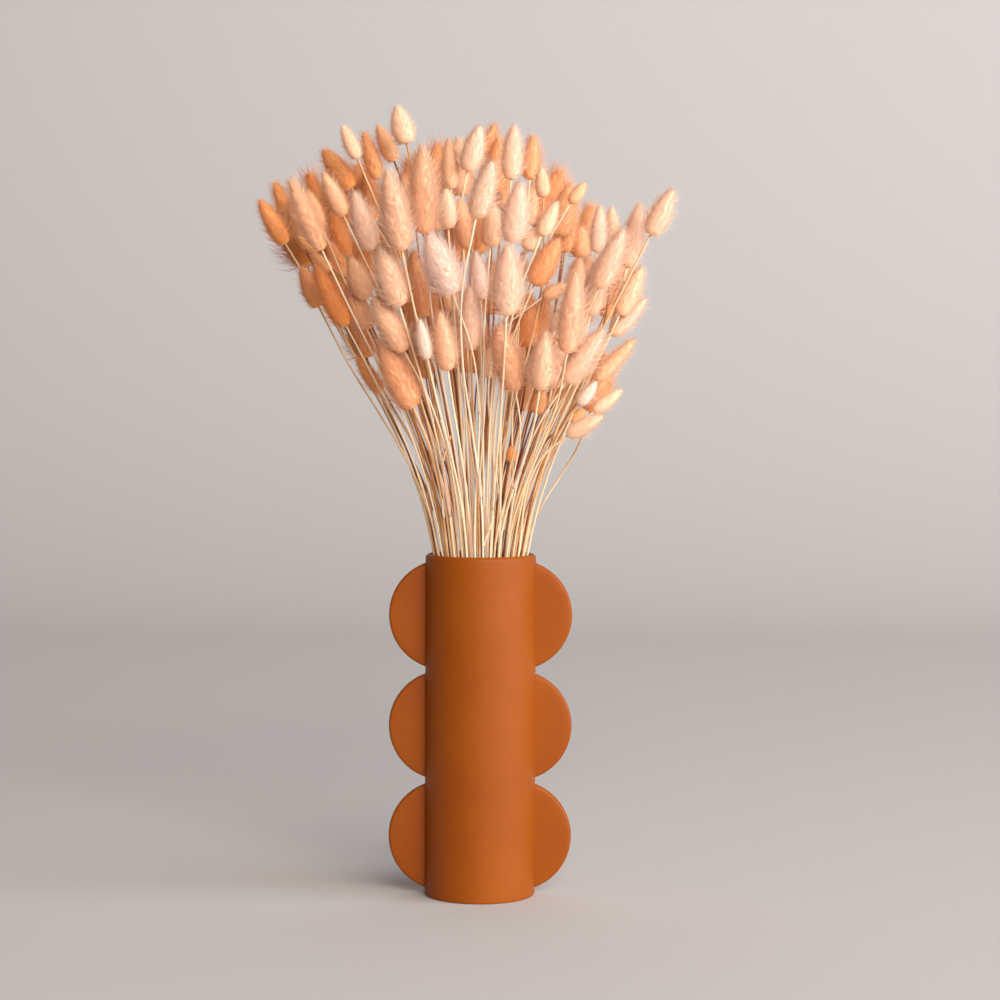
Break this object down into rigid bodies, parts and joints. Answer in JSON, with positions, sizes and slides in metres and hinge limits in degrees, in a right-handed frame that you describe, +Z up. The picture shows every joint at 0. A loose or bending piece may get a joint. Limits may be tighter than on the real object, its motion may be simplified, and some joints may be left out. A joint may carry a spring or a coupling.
{
  "type": "dried bunny tail grass in a vase",
  "caption": "Full bunch of dried bunny tail grass with soft peach heads on straw stems, standing in a tall terracotta vase with lobed side plates.",
  "frame": {"origin": "centre of the vase's flat underside", "axes": "+Z up along the vase's axis, +X to the right along the side plates, -Y towards the front"},
  "size_m": [0.2991, 0.3166, 0.5793],
  "materials": {
    "terracotta": "matte fired clay, fine sandy grain",
    "dried_grass": "dry straw with soft downy heads"
  },
  "bodies": {
    "root": {"vase": "terracotta", "bunny_tails_01": "dried_grass", "bunny_tails_02": "dried_grass", "bunny_tails_03": "dried_grass", "bunny_tails_04": "dried_grass", "bunny_tails_05": "dried_grass", "bunny_tails_06": "dried_grass", "bunny_tails_07": "dried_grass", "bunny_tails_08": "dried_grass", "bunny_tails_09": "dried_grass", "bunny_tails_10": "dried_grass", "bunny_tails_11": "dried_grass", "bunny_tails_12": "dried_grass", "bunny_tails_13": "dried_grass", "bunny_tails_14": "dried_grass", "bunny_tails_15": "dried_grass", "bunny_tails_16": "dried_grass", "bunny_tails_17": "dried_grass", "bunny_tails_18": "dried_grass", "bunny_tails_19": "dried_grass", "bunny_tails_20": "dried_grass", "bunny_tails_21": "dried_grass", "bunny_tails_22": "dried_grass", "bunny_tails_23": "dried_grass", "bunny_tails_24": "dried_grass", "bunny_tails_25": "dried_grass", "bunny_tails_26": "dried_grass", "bunny_tails_27": "dried_grass", "bunny_tails_28": "dried_grass", "bunny_tails_29": "dried_grass", "bunny_tails_30": "dried_grass", "bunny_tails_31": "dried_grass", "bunny_tails_32": "dried_grass", "bunny_tails_33": "dried_grass", "bunny_tails_34": "dried_grass", "bunny_tails_35": "dried_grass", "bunny_tails_36": "dried_grass", "bunny_tails_37": "dried_grass", "bunny_tails_38": "dried_grass", "bunny_tails_39": "dried_grass", "bunny_tails_40": "dried_grass", "bunny_tails_41": "dried_grass", "bunny_tails_42": "dried_grass", "bunny_tails_43": "dried_grass", "bunny_tails_44": "dried_grass", "bunny_tails_45": "dried_grass", "bunny_tails_46": "dried_grass", "bunny_tails_47": "dried_grass", "bunny_tails_48": "dried_grass", "bunny_tails_49": "dried_grass", "bunny_tails_50": "dried_grass", "bunny_tails_51": "dried_grass", "bunny_tails_52": "dried_grass", "bunny_tails_53": "dried_grass", "bunny_tails_54": "dried_grass", "bunny_tails_55": "dried_grass", "bunny_tails_56": "dried_grass", "bunny_tails_57": "dried_grass", "bunny_tails_58": "dried_grass", "bunny_tails_59": "dried_grass"}
  },
  "joints": []
}
